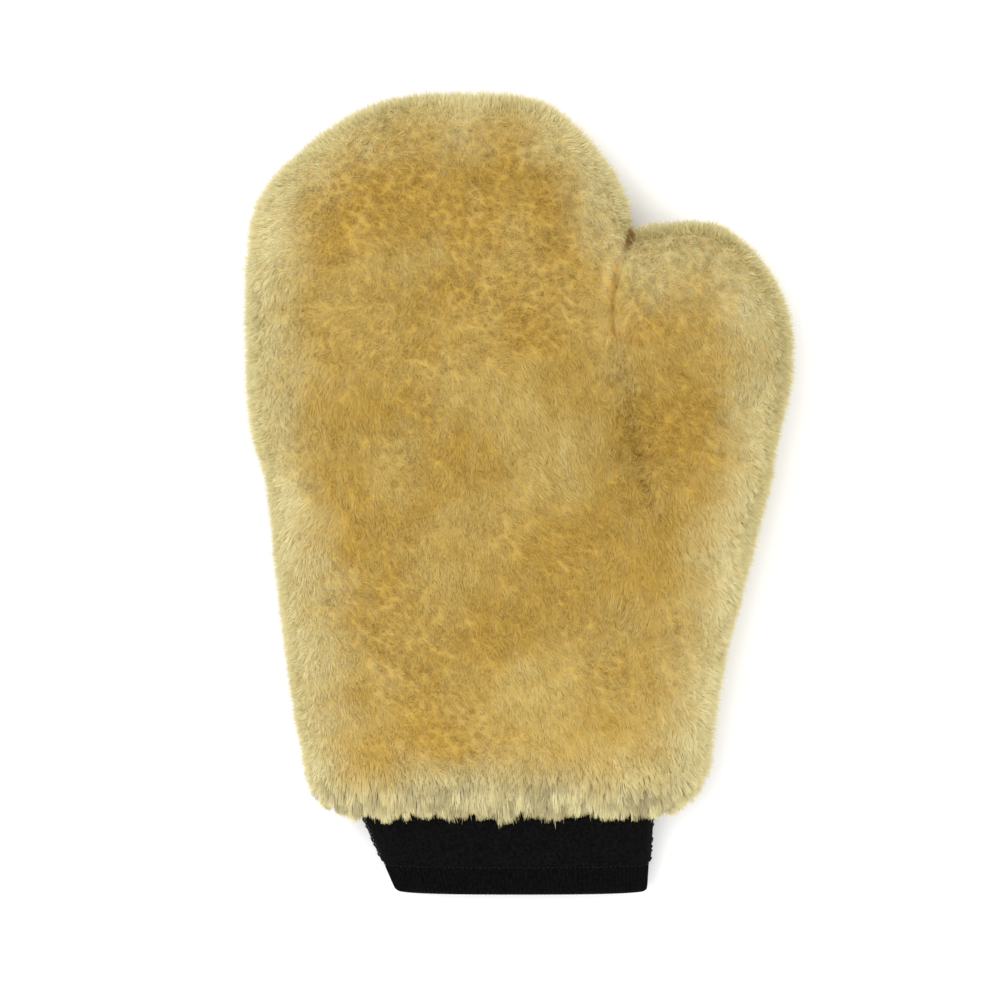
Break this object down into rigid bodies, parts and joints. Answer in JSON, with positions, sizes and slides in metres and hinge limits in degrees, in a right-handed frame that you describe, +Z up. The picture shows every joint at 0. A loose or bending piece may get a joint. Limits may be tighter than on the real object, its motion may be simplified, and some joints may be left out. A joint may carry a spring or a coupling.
{
  "type": "wash mitt",
  "caption": "Sheepskin wash mitt with a set-in thumb, sheared wool pile outside, and a short elasticated knitted cuff at the wrist.",
  "frame": {"origin": "on the surface that the mitt lies on, under the middle of its outline", "axes": "+Z up out of the palm, which faces up; +Y towards the fingertips, with the cuff's opening facing -Y; +X towards the thumb"},
  "size_m": [0.1982, 0.2915, 0.053],
  "materials": {
    "wool": "dense sheared sheepskin pile, honey-coloured with paler cream tips round the edges, matt with a slight sheen",
    "leather": "sueded flesh side of the pelt, matt",
    "thread": "twisted sewing thread, matt",
    "knit": "fine black double rib knit, matt",
    "elastic": "woven black elastic tape",
    "black_thread": "black overlock thread, matt"
  },
  "bodies": {
    "hand": {"palm_pelt": "leather", "palm_wool": "wool", "back_pelt": "leather", "back_wool": "wool", "finger_seam": "thread", "side_seam": "thread", "wrist_seam": "thread"},
    "thumb": {"thumb_palm_pelt": "leather", "thumb_palm_wool": "wool", "thumb_palm_gusset_seam": "thread", "thumb_back_pelt": "leather", "thumb_back_wool": "wool", "thumb_back_gusset_seam": "thread", "thumb_seam": "thread"},
    "cuff": {"cuff_palm_panel": "knit", "cuff_back_panel": "knit", "cuff_elastic": "elastic", "cuff_hem_stitching": "black_thread", "cuff_outer_side_seam": "black_thread", "cuff_thumb_side_seam": "black_thread"}
  },
  "joints": [
    {"name": "thumb_swing", "type": "hinge", "parent": "hand", "child": "thumb", "pos_m": [0.0624, 0.0235, 0.0225], "axis": [0, 0, 1], "range_deg": [-25, 0]},
    {"name": "cuff_bend", "type": "hinge", "parent": "hand", "child": "cuff", "pos_m": [-0.0065, -0.104, 0.033], "axis": [-1, 0, 0], "range_deg": [0, 45]}
  ]
}
